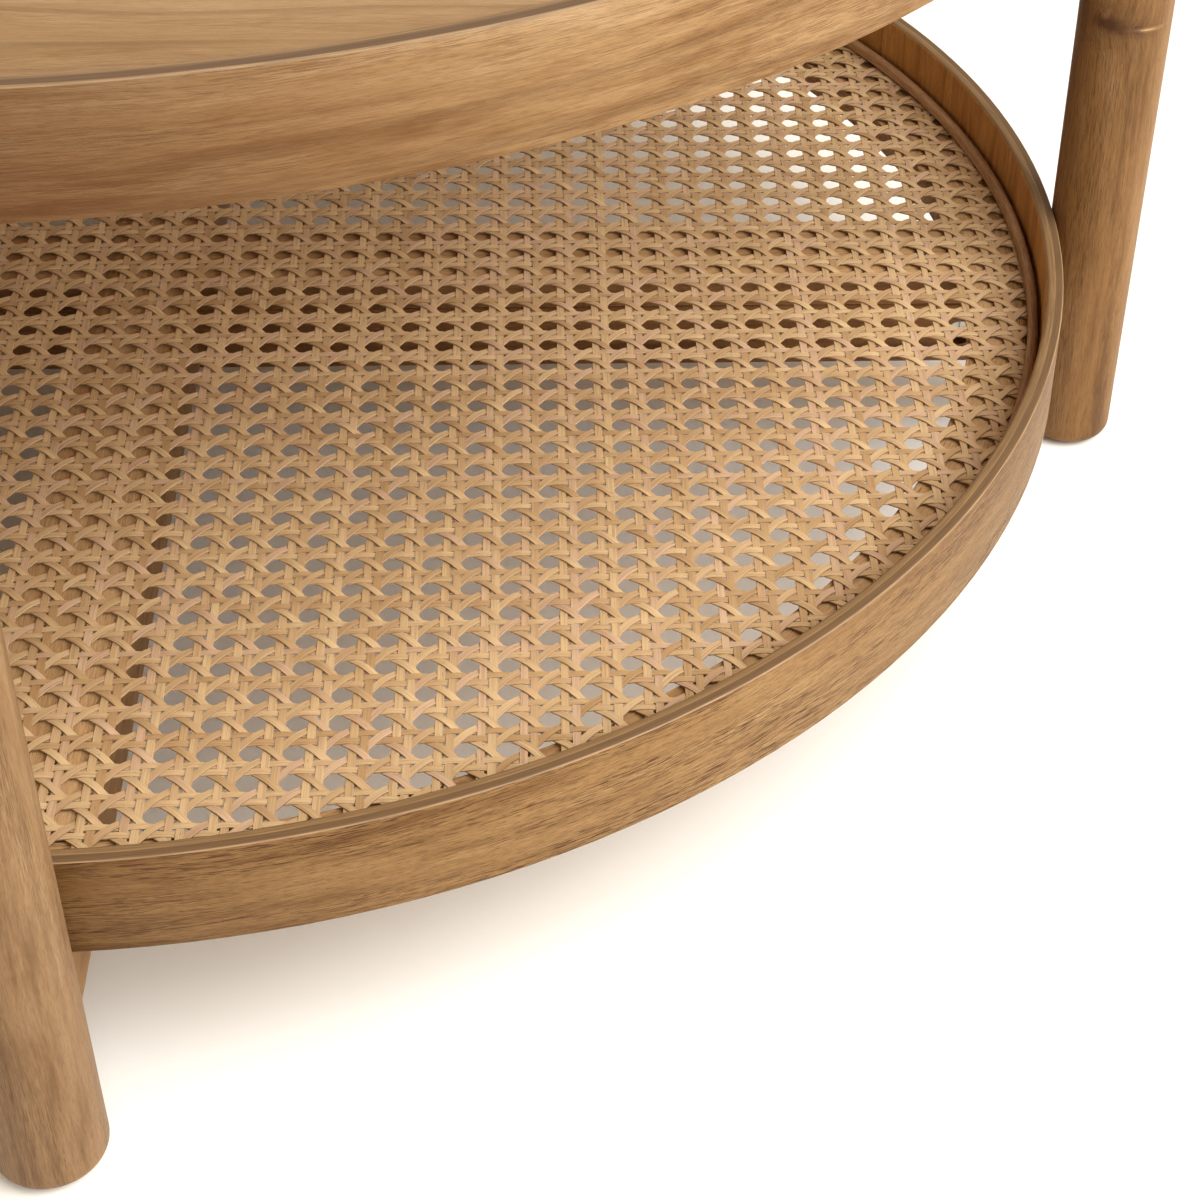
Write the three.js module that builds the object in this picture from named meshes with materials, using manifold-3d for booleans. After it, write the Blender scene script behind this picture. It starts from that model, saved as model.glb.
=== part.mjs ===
// Round two-tier coffee table: a veneered top and a cane shelf, each set in a bent-wood hoop,
// carried by four round legs. Millimetres, +Z up. The origin is on the floor under the centre.
import * as THREE from "three";
import { mergeVertices } from "three/addons/utils/BufferGeometryUtils.js";
import Module from "manifold-3d";

// Driving dimensions
const TABLE_WIDTH = 750; // across two opposite legs
const TABLE_HEIGHT = 333;
const LEG_RADIUS = 17;
const GAP = 0.3; // between neighbours that are curved or cut to each other

const HOOP_RADIUS = TABLE_WIDTH / 2 - 2 * LEG_RADIUS - GAP;
const HOOP_WALL = 6.2;
const HOOP_OUTER_ROUND = 0.8; // rounding of the top edges
const HOOP_INNER_ROUND = 1.5;
const SHELF_HOOP_BOTTOM = 66;
const SHELF_HOOP_HEIGHT = 36;
const TOP_HOOP_HEIGHT = 33;
const TOP_HOOP_BOTTOM = TABLE_HEIGHT - TOP_HOOP_HEIGHT;

const TOP_RING_WIDTH = 18;
const SHELF_RING_WIDTH = 26;
const FRAME_THICKNESS = 12; // rings and flat cross rails
const RAIL_WIDTH = 38; // under the top
const BOARD_THICKNESS = 12;
const BOARD_RECESS = 1.5; // from the rim of the hoop down to the board

const CANE_THICKNESS = 3;
const BEAD_WIDTH = 3.6;
const BEAD_HEIGHT = 4.2;
const BEAD_CLEARANCE = 1.2; // open groove between bead and hoop

// The cross under the shelf: a stretcher from leg to leg with a slat of the same width on it, both ways
const CROSS_WIDTH = 36;
const STRETCHER_HEIGHT = 27;
const CROSS_CENTRE = [-7, 7]; // it lies a little off the middle, towards the left and the back

const FOOT_ROUND = 5;
const LEG_TOP_ROUND = 3;
const GLIDE_RADIUS = 9;
const GLIDE_THICKNESS = 3;
const GLIDE_STANDS_OUT = 1;

const STUD_RADIUS = 3;
const STUD_LENGTH = 60;
const STUD_IN_LEG = 20;
const NUT_RADIUS = 5;
const NUT_FROM_STUD_END = 7; // from the stud's inner end to the nut's axis
const LOWER_NUT_LENGTH = 15;
const UPPER_NUT_LENGTH = 11;

const SCREW_RADIUS = 2;
const SCREW_HEAD_RADIUS = 4;
const SCREW_HEAD_HEIGHT = 2.4;
const SHELF_SCREW_PLACE = 250; // distance from the centre
const SHELF_SCREW_COUNTERBORE = 10;
const SHELF_SCREW_LENGTH = 26;
const RAIL_SCREW_PLACE = 150;
const TOP_SCREW_LENGTH = 18;

const PAST = 20; // how far a cutter runs past the wood

// Heights and radii that follow from them
const INNER_RADIUS = HOOP_RADIUS - HOOP_WALL - GAP; // rings, board and cane
const RING_SCREW_PLACE = INNER_RADIUS - TOP_RING_WIDTH / 2;
const LEG_PLACE = TABLE_WIDTH / 2 - LEG_RADIUS;
const SHELF_FRAME_BOTTOM = SHELF_HOOP_BOTTOM;
const CANE_BOTTOM = SHELF_FRAME_BOTTOM + FRAME_THICKNESS;
const CANE_TOP = CANE_BOTTOM + CANE_THICKNESS;
const BOARD_BOTTOM = TABLE_HEIGHT - BOARD_RECESS - BOARD_THICKNESS;
const TOP_FRAME_BOTTOM = BOARD_BOTTOM - FRAME_THICKNESS;
const STRETCHER_BOTTOM = SHELF_FRAME_BOTTOM - STRETCHER_HEIGHT;
const STUD_INNER_END = LEG_PLACE - LEG_RADIUS + STUD_IN_LEG - STUD_LENGTH;
const NUT_PLACE = STUD_INNER_END + NUT_FROM_STUD_END;
const LOWER_STUD_HEIGHT = STRETCHER_BOTTOM + STRETCHER_HEIGHT / 2;
const UPPER_STUD_HEIGHT = TOP_FRAME_BOTTOM + FRAME_THICKNESS / 2;

const HOOP_SEGMENTS = 72;
const LEG_SEGMENTS = 24;
const PIN_SEGMENTS = 12;
const SIDES = { right: 0, back: 90, left: 180, front: 270 };

const wasm = await Module();
wasm.setup();
const { Manifold, Mesh } = wasm;

// Materials
const matt = (color, roughness) => () => new THREE.MeshStandardMaterial({ color, roughness, metalness: 0 });
const metal = (color, roughness) => () => new THREE.MeshStandardMaterial({ color, roughness, metalness: 1 });
const MATERIALS = {
  board: matt(0xc69c6d, 0.5),
  hoop: matt(0xb98f61, 0.55),
  frame: matt(0xa97f52, 0.65),
  leg: matt(0xb08a60, 0.55),
  bead: matt(0xa98a63, 0.6),
  cane: matt(0xd9b685, 0.6),
  steel: metal(0xa8a8a4, 0.4),
  glide: matt(0x3a3632, 0.7),
};

// Solids: three.js shapes, joined and cut as manifold solids
function solid(geometry) {
  const bare = geometry.clone();
  bare.deleteAttribute("normal");
  bare.deleteAttribute("uv");
  const merged = mergeVertices(bare, 1e-4);
  return new Manifold(new Mesh({
    numProp: 3,
    vertProperties: new Float32Array(merged.attributes.position.array),
    triVerts: new Uint32Array(merged.index.array),
  }));
}

function geometryOf(shape) {
  const { vertProperties, triVerts } = shape.getMesh();
  const geometry = new THREE.BufferGeometry();
  geometry.setAttribute("position", new THREE.BufferAttribute(vertProperties, 3));
  geometry.setIndex(new THREE.BufferAttribute(triVerts, 1));
  geometry.computeVertexNormals();
  return geometry;
}

const cut = (shape, cutters) => cutters.reduce((rest, cutter) => rest.subtract(cutter), shape);

// A solid of revolution about Z from [radius, height] points
function turned(profile, segments) {
  const points = profile.map(([radius, height]) => new THREE.Vector2(radius, height));
  return new THREE.LatheGeometry(points, segments).rotateX(Math.PI / 2);
}

// Profile points on an arc about [centreRadius, centreHeight]
function arc(centreRadius, centreHeight, round, fromDegrees, toDegrees, steps) {
  return Array.from({ length: steps + 1 }, (_, i) => {
    const angle = THREE.MathUtils.degToRad(fromDegrees + ((toDegrees - fromDegrees) * i) / steps);
    return [centreRadius + round * Math.cos(angle), centreHeight + round * Math.sin(angle)];
  });
}

// A ring with a square section; its profile closes on itself
function squareRing(inner, outer, bottom, top) {
  const profile = [[inner, bottom], [outer, bottom], [outer, top], [inner, top], [inner, bottom]];
  return turned(profile, HOOP_SEGMENTS);
}

function box(sizeX, sizeY, sizeZ, x, y, bottom) {
  return new THREE.BoxGeometry(sizeX, sizeY, sizeZ).translate(x, y, bottom + sizeZ / 2);
}

function disc(radius, bottom, top, segments) {
  return turned([[0, bottom], [radius, bottom], [radius, top], [0, top]], segments);
}

// A straight pin along X, Y or Z, from one end to the other
function pin(axis, radius, from, to, [x, y, z]) {
  const shape = new THREE.CylinderGeometry(radius, radius, to - from, PIN_SEGMENTS);
  if (axis === "x") shape.rotateZ(-Math.PI / 2).translate((from + to) / 2, y, z);
  if (axis === "y") shape.translate(x, (from + to) / 2, z);
  if (axis === "z") shape.rotateX(Math.PI / 2).translate(x, y, (from + to) / 2);
  return shape;
}

const turnedTo = (geometry, degrees) => geometry.rotateZ(THREE.MathUtils.degToRad(degrees));

// Clearance holes for the stud of each leg, at one height
function studHoles(height, degreesList) {
  const hole = () => pin("x", STUD_RADIUS + GAP, STUD_INNER_END - GAP, LEG_PLACE, [0, 0, height]);
  return degreesList.map((degrees) => solid(turnedTo(hole(), degrees)));
}

// Hoops, rings, board, cane and bead
function hoop(bottom, height) {
  const top = bottom + height;
  const inner = HOOP_RADIUS - HOOP_WALL;
  const profile = [
    [inner, bottom],
    [HOOP_RADIUS, bottom],
    ...arc(HOOP_RADIUS - HOOP_OUTER_ROUND, top - HOOP_OUTER_ROUND, HOOP_OUTER_ROUND, 0, 90, 2),
    ...arc(inner + HOOP_INNER_ROUND, top - HOOP_INNER_ROUND, HOOP_INNER_ROUND, 90, 180, 2),
    [inner, bottom],
  ];
  return turned(profile, HOOP_SEGMENTS);
}

function bead() {
  const outer = INNER_RADIUS + GAP - BEAD_CLEARANCE;
  const round = BEAD_WIDTH / 2;
  const profile = [
    [outer - BEAD_WIDTH, CANE_TOP],
    [outer, CANE_TOP],
    ...arc(outer - round, CANE_TOP + BEAD_HEIGHT - round, round, 0, 180, 4),
    [outer - BEAD_WIDTH, CANE_TOP],
  ];
  return turned(profile, HOOP_SEGMENTS);
}

// A bar along X or Y through the given centre. It is halved there into the bar that crosses it:
// the one along X is notched from above, the one along Y from below.
function crossBar(along, length, width, height, bottom, [x, y]) {
  const bar = along === "x"
    ? box(length, width, height, 0, y, bottom)
    : box(width, length, height, x, 0, bottom);
  const depth = height / 2 + GAP / 2;
  const opening = width + 2 * GAP;
  const start = along === "x" ? bottom + height - depth : bottom - PAST;
  return cut(solid(bar), [solid(box(opening, opening, depth + PAST, x, y, start))]);
}

// Flat cross rails end just inside a ring
function flatRail(along, ringWidth, width, bottom, centre) {
  const radius = INNER_RADIUS - ringWidth - GAP;
  const blank = solid(disc(radius, bottom, bottom + FRAME_THICKNESS, HOOP_SEGMENTS));
  return blank.intersect(crossBar(along, 2 * radius, width, FRAME_THICKNESS, bottom, centre));
}

const ALONG = { x: [0, 180], y: [90, 270] };

// Screws from below hold the board to the ring, between the rails, and to the rails
function topScrewPlaces() {
  const onRing = [45, 135, 225, 315].map((degrees) => [RING_SCREW_PLACE, degrees]);
  const onRails = [0, 90, 180, 270].map((degrees) => [RAIL_SCREW_PLACE, degrees]);
  return [...onRing, ...onRails].map(([radius, degrees]) => {
    const angle = THREE.MathUtils.degToRad(degrees);
    return [radius * Math.cos(angle), radius * Math.sin(angle)];
  });
}

function shelfScrewPlaces(along) {
  const [x, y] = CROSS_CENTRE;
  return [-SHELF_SCREW_PLACE, SHELF_SCREW_PLACE].map((place) => (along === "x" ? [place, y] : [x, place]));
}

// A countersunk wood screw pointing up, its head's face at the given height
function screwProfile(faceHeight, length, spare) {
  const shank = SCREW_RADIUS + spare;
  const head = SCREW_HEAD_RADIUS + spare;
  return [
    [0, faceHeight],
    [head, faceHeight],
    [shank, faceHeight + SCREW_HEAD_HEIGHT],
    [shank, faceHeight + length - 2 * SCREW_RADIUS],
    [0, faceHeight + length + spare],
  ];
}

function screw(faceHeight, length, [x, y]) {
  return turned(screwProfile(faceHeight, length, 0), PIN_SEGMENTS).translate(x, y, 0);
}

// The hole for it, opened downwards from the head by a counterbore of the given depth
function screwHole(faceHeight, length, counterbore, [x, y]) {
  const seat = solid(turned(screwProfile(faceHeight, length, GAP), PIN_SEGMENTS).translate(x, y, 0));
  const mouth = faceHeight - counterbore - GAP;
  return seat.add(solid(pin("z", SCREW_HEAD_RADIUS + GAP, mouth, faceHeight + GAP / 2, [x, y, 0])));
}

// The blind hole for a barrel nut, open on its lower or near side
function nutPocket(along, sign, axis, height, halfLength) {
  const centre = along === "x" ? [sign * NUT_PLACE, 0, height] : [0, sign * NUT_PLACE, height];
  const middle = { x: centre[0], y: centre[1], z: height }[axis];
  return pin(axis, NUT_RADIUS + GAP, middle - halfLength - PAST, middle + halfLength + GAP, centre);
}

function topRail(along) {
  const shape = flatRail(along, TOP_RING_WIDTH, RAIL_WIDTH, TOP_FRAME_BOTTOM, [0, 0]);
  const pockets = [-1, 1].map((sign) => solid(
    nutPocket(along, sign, "z", UPPER_STUD_HEIGHT, UPPER_NUT_LENGTH / 2)));
  const screws = topScrewPlaces().map((place) => screwHole(TOP_FRAME_BOTTOM, TOP_SCREW_LENGTH, 0, place));
  return cut(shape, [...studHoles(UPPER_STUD_HEIGHT, ALONG[along]), ...pockets, ...screws]);
}

function shelfSlat(along) {
  const screws = shelfScrewPlaces(along).map((place) => screwHole(
    STRETCHER_BOTTOM + SHELF_SCREW_COUNTERBORE, SHELF_SCREW_LENGTH, SHELF_SCREW_COUNTERBORE, place));
  const slat = flatRail(along, SHELF_RING_WIDTH, CROSS_WIDTH, SHELF_FRAME_BOTTOM, CROSS_CENTRE);
  return cut(slat, screws);
}

// Stretchers lie under the shelf's slats and run from leg to leg
function stretcher(along) {
  const length = 2 * (LEG_PLACE - LEG_RADIUS - GAP);
  const bar = crossBar(along, length, CROSS_WIDTH, STRETCHER_HEIGHT, STRETCHER_BOTTOM, CROSS_CENTRE);
  const acrossAxis = along === "x" ? "y" : "x";
  const pockets = [-1, 1].map((sign) => solid(
    nutPocket(along, sign, acrossAxis, LOWER_STUD_HEIGHT, LOWER_NUT_LENGTH / 2)));
  const screws = shelfScrewPlaces(along).map((place) => screwHole(
    STRETCHER_BOTTOM + SHELF_SCREW_COUNTERBORE, SHELF_SCREW_LENGTH, SHELF_SCREW_COUNTERBORE, place));
  return cut(bar, [...studHoles(LOWER_STUD_HEIGHT, ALONG[along]), ...pockets, ...screws]);
}

// A leg stands on the +X side, and a group turns it to its own side
function leg() {
  const foot = GLIDE_STANDS_OUT;
  const profile = [
    [0, foot],
    ...arc(LEG_RADIUS - FOOT_ROUND, foot + FOOT_ROUND, FOOT_ROUND, 270, 360, 4),
    ...arc(LEG_RADIUS - LEG_TOP_ROUND, TABLE_HEIGHT - LEG_TOP_ROUND, LEG_TOP_ROUND, 0, 90, 3),
    [0, TABLE_HEIGHT],
  ];
  const blank = solid(turned(profile, LEG_SEGMENTS).translate(LEG_PLACE, 0, 0));
  const socketDepth = STUD_IN_LEG + GAP;
  const sockets = [LOWER_STUD_HEIGHT, UPPER_STUD_HEIGHT].map((height) => {
    const inner = LEG_PLACE - LEG_RADIUS;
    return solid(pin("x", STUD_RADIUS + GAP, inner - PAST, inner + socketDepth, [0, 0, height]));
  });
  const glideSeat = pin("z", GLIDE_RADIUS + GAP, -PAST, GLIDE_THICKNESS + GAP, [LEG_PLACE, 0, 0]);
  return cut(blank, [...sockets, solid(glideSeat)]);
}

function glide() {
  return pin("z", GLIDE_RADIUS, 0, GLIDE_THICKNESS, [LEG_PLACE, 0, 0]);
}

function stud(height) {
  return pin("x", STUD_RADIUS, STUD_INNER_END, STUD_INNER_END + STUD_LENGTH, [0, 0, height]);
}

// A barrel nut is a short cylinder with the stud's hole through its middle
function barrelNut(axis, length, height) {
  const centre = [NUT_PLACE, 0, height];
  const middle = axis === "z" ? height : 0;
  const body = solid(pin(axis, NUT_RADIUS, middle - length / 2, middle + length / 2, centre));
  const hole = pin("x", STUD_RADIUS + GAP, NUT_PLACE - PAST, NUT_PLACE + PAST, [0, 0, height]);
  return cut(body, [solid(hole)]);
}

function topHoop() {
  const holes = studHoles(UPPER_STUD_HEIGHT, Object.values(SIDES));
  return cut(solid(hoop(TOP_HOOP_BOTTOM, TOP_HOOP_HEIGHT)), holes);
}

function frameRing(width, bottom) {
  return solid(squareRing(INNER_RADIUS - width, INNER_RADIUS, bottom, bottom + FRAME_THICKNESS));
}

function topRing() {
  const screws = topScrewPlaces().map((place) => screwHole(TOP_FRAME_BOTTOM, TOP_SCREW_LENGTH, 0, place));
  const studs = studHoles(UPPER_STUD_HEIGHT, Object.values(SIDES));
  return cut(frameRing(TOP_RING_WIDTH, TOP_FRAME_BOTTOM), [...studs, ...screws]);
}

function topBoard() {
  const screws = topScrewPlaces().map((place) => screwHole(TOP_FRAME_BOTTOM, TOP_SCREW_LENGTH, 0, place));
  return cut(solid(disc(INNER_RADIUS, BOARD_BOTTOM, BOARD_BOTTOM + BOARD_THICKNESS, HOOP_SEGMENTS)), screws);
}

// The assembly
const table = new THREE.Group();

function add(name, material, shape, parent = table) {
  const geometry = shape.isBufferGeometry ? shape : geometryOf(shape);
  const mesh = new THREE.Mesh(geometry, MATERIALS[material]());
  mesh.name = name;
  parent.add(mesh);
}

add("top_board", "board", topBoard());
add("top_hoop", "hoop", topHoop());
add("top_ring", "frame", topRing());
add("shelf_hoop", "hoop", hoop(SHELF_HOOP_BOTTOM, SHELF_HOOP_HEIGHT));
add("shelf_ring", "frame", frameRing(SHELF_RING_WIDTH, SHELF_FRAME_BOTTOM));
add("cane_panel", "cane", disc(INNER_RADIUS, CANE_BOTTOM, CANE_TOP, HOOP_SEGMENTS));
add("cane_bead", "bead", bead());

for (const along of ["x", "y"]) {
  add(`top_rail_${along}`, "frame", topRail(along));
  add(`shelf_slat_${along}`, "frame", shelfSlat(along));
  add(`stretcher_${along}`, "leg", stretcher(along));
  shelfScrewPlaces(along).forEach((place, i) => add(
    `shelf_screw_${along}${i + 1}`, "steel",
    screw(STRETCHER_BOTTOM + SHELF_SCREW_COUNTERBORE, SHELF_SCREW_LENGTH, place)));
}

topScrewPlaces().forEach((place, i) => add(
  `top_screw_${i + 1}`, "steel", screw(TOP_FRAME_BOTTOM, TOP_SCREW_LENGTH, place)));

for (const [side, degrees] of Object.entries(SIDES)) {
  const corner = new THREE.Group();
  corner.rotation.z = THREE.MathUtils.degToRad(degrees);
  table.add(corner);
  add(`leg_${side}`, "leg", leg(), corner);
  add(`glide_${side}`, "glide", glide(), corner);
  add(`lower_stud_${side}`, "steel", stud(LOWER_STUD_HEIGHT), corner);
  add(`upper_stud_${side}`, "steel", stud(UPPER_STUD_HEIGHT), corner);
  add(`lower_nut_${side}`, "steel", barrelNut("y", LOWER_NUT_LENGTH, LOWER_STUD_HEIGHT), corner);
  add(`upper_nut_${side}`, "steel", barrelNut("z", UPPER_NUT_LENGTH, UPPER_STUD_HEIGHT), corner);
}

export default table;
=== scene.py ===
import math
import random
from collections import namedtuple

import bmesh
import bpy
import numpy as np
from mathutils import Matrix, Vector


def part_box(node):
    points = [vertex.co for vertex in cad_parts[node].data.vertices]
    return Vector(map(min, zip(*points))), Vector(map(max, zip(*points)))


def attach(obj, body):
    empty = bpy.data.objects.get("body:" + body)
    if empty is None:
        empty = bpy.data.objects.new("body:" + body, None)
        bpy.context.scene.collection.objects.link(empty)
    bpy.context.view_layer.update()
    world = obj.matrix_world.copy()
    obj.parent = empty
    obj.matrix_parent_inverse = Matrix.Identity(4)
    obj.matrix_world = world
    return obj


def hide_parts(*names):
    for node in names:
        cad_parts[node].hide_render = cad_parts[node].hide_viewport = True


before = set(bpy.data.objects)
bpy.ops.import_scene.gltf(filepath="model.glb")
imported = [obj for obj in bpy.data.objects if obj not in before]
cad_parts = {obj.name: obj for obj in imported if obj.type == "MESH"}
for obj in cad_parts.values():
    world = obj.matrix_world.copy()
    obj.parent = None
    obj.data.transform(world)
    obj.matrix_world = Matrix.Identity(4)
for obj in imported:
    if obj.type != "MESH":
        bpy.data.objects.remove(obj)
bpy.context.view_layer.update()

MM = 0.001

# Camera: the photograph's place and lens
CAMERA_PLACE = (0.15399, -0.81003, 0.58095)
CAMERA_YAW, CAMERA_PITCH, CAMERA_ROLL = (math.radians(a) for a in (3.764, 40.743, 1.566))
CAMERA_LENS = 73.04
CAMERA_SHIFT = (-0.0775, 0.0400)

# Light: (name, place, size, power) of each square softbox
SOFTBOXES = (("key", (1.2, -0.9, 2.0), 1.5, 40), ("side", (2.35, -0.75, 1.3), 1.9, 50),
             ("front", (0.9, -2.0, 1.6), 1.6, 20))
LIT_POINT = Vector((0, 0, 0.15))
LAMP_COLOUR = (0.94, 1.0, 1.05)
WORLD_COLOUR, WORLD_STRENGTH = (1.0, 0.87, 0.69, 1.0), 0.61
FLOOR_REACH = 6.0

# Woven cane
CELL = 12.76 * MM  # from hole to hole
WARP_OFFSET, WARP_WIDTH = 1.72 * MM, 2.60 * MM  # the two strands of a pair lie this far from its middle
WEFT_OFFSET, WEFT_WIDTH = 1.59 * MM, 2.44 * MM
DIAGONAL_WIDTH = 2.52 * MM
STRAND_THICKNESS = 0.48 * MM
PAIR_WAVE, DIAGONAL_WAVE = 0.30 * MM, 0.72 * MM  # how far strands rise and dip as they cross
WEB_SHIFT = (0.34 * MM, -0.11 * MM)  # the webbing isn't laid quite centred
STEPS_PER_CELL, STEPS_PER_DIAGONAL = 6, 7
# A strand's section, as shares of its half width and half thickness: flat below, slightly crowned above
STRAND_SECTION = np.array([(-0.98, -1.0), (0.98, -1.0), (1.0, 0.55), (0.93, 1.0), (-0.93, 1.0), (-1.0, 0.55)])
STRAND_SHADED_CORNERS = np.array([1.0, 1.0, 1.0, 0.0, 0.0, 1.0])  # painted shade: 1 darkens a corner on the strand's sides and underside, 0 leaves its top
# How far strands differ: where they end, lie and float, how they drift sideways, and their widths
END_SPREAD, PLACE_SPREAD, HEIGHT_SPREAD = 1.2 * MM, 0.07 * MM, 0.02 * MM
PLACE_DRIFT = 0.10 * MM
WIDTH_SPREAD, WIDTH_DRIFT = 0.035, 0.02
TONE_MIDDLE, TONE_SPREAD = 0.58, 0.26
PINK_SHARE, FAINT_PINK = 0.14, 0.3  # the share of pink strands, and how pink the others get at most

# Rounded edges and clearances
GAP = 0.3 * MM  # between pieces, as in the CAD
PAST = 20 * MM  # how far a cutter reaches past the piece that it cuts
HOOP_FOOT_ROUND, HOOP_OUTER_ROUND, HOOP_INNER_ROUND = 0.6 * MM, 0.8 * MM, 1.5 * MM
LEG_FOOT_ROUND, LEG_HEAD_ROUND = 5 * MM, 3 * MM
RING_ROUND, BOARD_ROUND, GLIDE_ROUND, NUT_ROUND = 0.8 * MM, 0.8 * MM, 0.6 * MM, 0.5 * MM
RAIL_ROUND, SLAT_ROUND, STRETCHER_ROUND = 1.0 * MM, 0.8 * MM, 1.5 * MM
BEAD_WIDTH = 3.6 * MM
SCREW_SINK = 2.4 * MM  # from a screw's face to where its head meets the shank

HOOP_SEGMENTS, LEG_SEGMENTS, SMALL_SEGMENTS, SCREW_SEGMENTS = 192, 64, 32, 24
SIDES = ("right", "back", "left", "front")
FRONT = 270  # where the front leg is, in degrees round the table from +X

rng = random.Random(11)


# ---------------------------------------------------------------- places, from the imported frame

Span = namedtuple("Span", "middle half low high")


def span(node):
    """A node's middle, half size and box."""
    low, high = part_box(node)
    return Span((low + high) / 2, (high - low) / 2, low, high)


HOOP_RADIUS = span("shelf_hoop").high.x
RING_OUTER = span("shelf_ring").high.x
HOOP_INNER = RING_OUTER + GAP
TOP_RING_INNER = span("top_rail_x").high.x + GAP
SHELF_RING_INNER = span("shelf_slat_x").high.x + GAP
CANE_LOW, CANE_HIGH = span("cane_panel").low.z, span("cane_panel").high.z
BEAD_OUTER, BEAD_TOP = span("cane_bead").high.x, span("cane_bead").high.z
CANE_RADIUS = BEAD_OUTER - 0.5 * MM  # the strands end under the bead
SCREWS = sorted(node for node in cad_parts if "screw" in node)
NUTS = sorted(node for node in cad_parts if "nut" in node)
NUT_RADIUS = span("upper_nut_right").half.x


# ---------------------------------------------------------------- colours

def srgb(r, g, b):
    """A colour in 0 to 255 as a linear one."""
    return tuple(c / 12.92 if c <= 0.04045 else ((c + 0.055) / 1.055) ** 2.4
                 for c in (r / 255, g / 255, b / 255)) + (1.0,)


def scaled(colour, shares):
    """A colour with its red, green and blue times their shares."""
    return tuple(c * share for c, share in zip(colour, shares)) + (1.0,)


# Woods: dark, middle and light
TOP_HOOP_WOOD = srgb(118, 78, 34), srgb(159, 122, 79), srgb(181, 147, 106)
SHELF_HOOP_WOOD = srgb(108, 72, 30), srgb(147, 109, 64), srgb(168, 131, 84)
# Painted light: the hoops' inner wall is coloured lighter than their outside, standing in for light that the
# shaded wall lacks.
INNER_WOOD_AND_LIGHT = srgb(150, 98, 42), srgb(188, 135, 70), srgb(204, 152, 86)
BOARD_WOOD = srgb(132, 98, 62), srgb(149, 115, 79), srgb(160, 127, 91)
RIGHT_LEG_WOOD = srgb(98, 64, 28), srgb(135, 96, 54), srgb(151, 113, 72)
LEG_WOOD = srgb(108, 76, 44), srgb(142, 108, 73), srgb(160, 128, 92)
FRAME_WOOD = srgb(156, 114, 70), srgb(198, 154, 104), srgb(214, 172, 124)
# The stretchers' wood is partly painted shade: the X stretcher's colours are dimmed to stand in for the shade
# on its front face.
STRETCHER_WOOD_AND_SHADE = {"x": (srgb(90, 54, 20), srgb(126, 83, 40), srgb(146, 102, 56)),
                  "y": (srgb(108, 74, 40), srgb(146, 107, 64), srgb(164, 126, 84))}
BEAD_WOOD = srgb(136, 94, 62), srgb(182, 141, 101), srgb(204, 165, 126)
PORE_SHARES, VEIN_SHARES = (0.50, 0.36, 0.18), (0.55, 0.55, 0.55)  # of the dark wood, in its pores and veins
SCAR, SCRATCH = srgb(70, 38, 18), srgb(190, 150, 104)
# Marks on the right leg: along X, along Y and down from the middle of its top, radius, flatness and colour,
# the first four in millimetres
LEG_MARKS = ((-9, -14, 148, 8, 1.7, SCAR), (1, -17, 149, 4, 2.2, SCAR), (5, -16, 149, 3.4, 7.0, SCRATCH),
             (5, -16, 134, 2, 1.8, SCAR))

# The hoops' plies, from the inner face outwards: the share of the wall where each ends, softness and colour
EDGE_TAN, EDGE_BROWN = srgb(140, 106, 66), srgb(112, 82, 50)
EDGE_PALE, EDGE_DARK = srgb(160, 124, 84), srgb(76, 52, 30)
TOP_EDGE_BROWN, TOP_EDGE_PALE = srgb(100, 74, 50), srgb(144, 112, 76)
SHELF_PLIES = ((0.46, 0.03, EDGE_TAN), (0.52, 0.03, EDGE_PALE), (0.93, 0.02, EDGE_BROWN),
               (1.0, 0.0, EDGE_PALE))
TOP_PLIES = ((0.40, 0.16, BOARD_WOOD[1]), (0.88, 0.03, TOP_EDGE_BROWN), (1.0, 0.0, TOP_EDGE_PALE))

CANE_PALE, CANE_DEEP = srgb(219, 184, 135), srgb(179, 139, 92)
CANE_PINK, CANE_FIBRE = srgb(212, 174, 142), srgb(150, 108, 66)
# A dark speck colour, and painted shade for the strands' sides and undersides.
CANE_SPECK, CANE_PAINTED_SHADE = srgb(70, 42, 20), srgb(112, 76, 42)
STEEL_DULL, STEEL_BRIGHT = srgb(150, 150, 146), srgb(196, 196, 190)
NYLON_DARK, NYLON_SCUFFED = srgb(52, 48, 45), srgb(96, 90, 84)
FLOOR_DIM, FLOOR_BRIGHT = (0.915, 0.875, 0.80, 1.0), (0.945, 0.905, 0.83, 1.0)


# ---------------------------------------------------------------- materials

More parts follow.
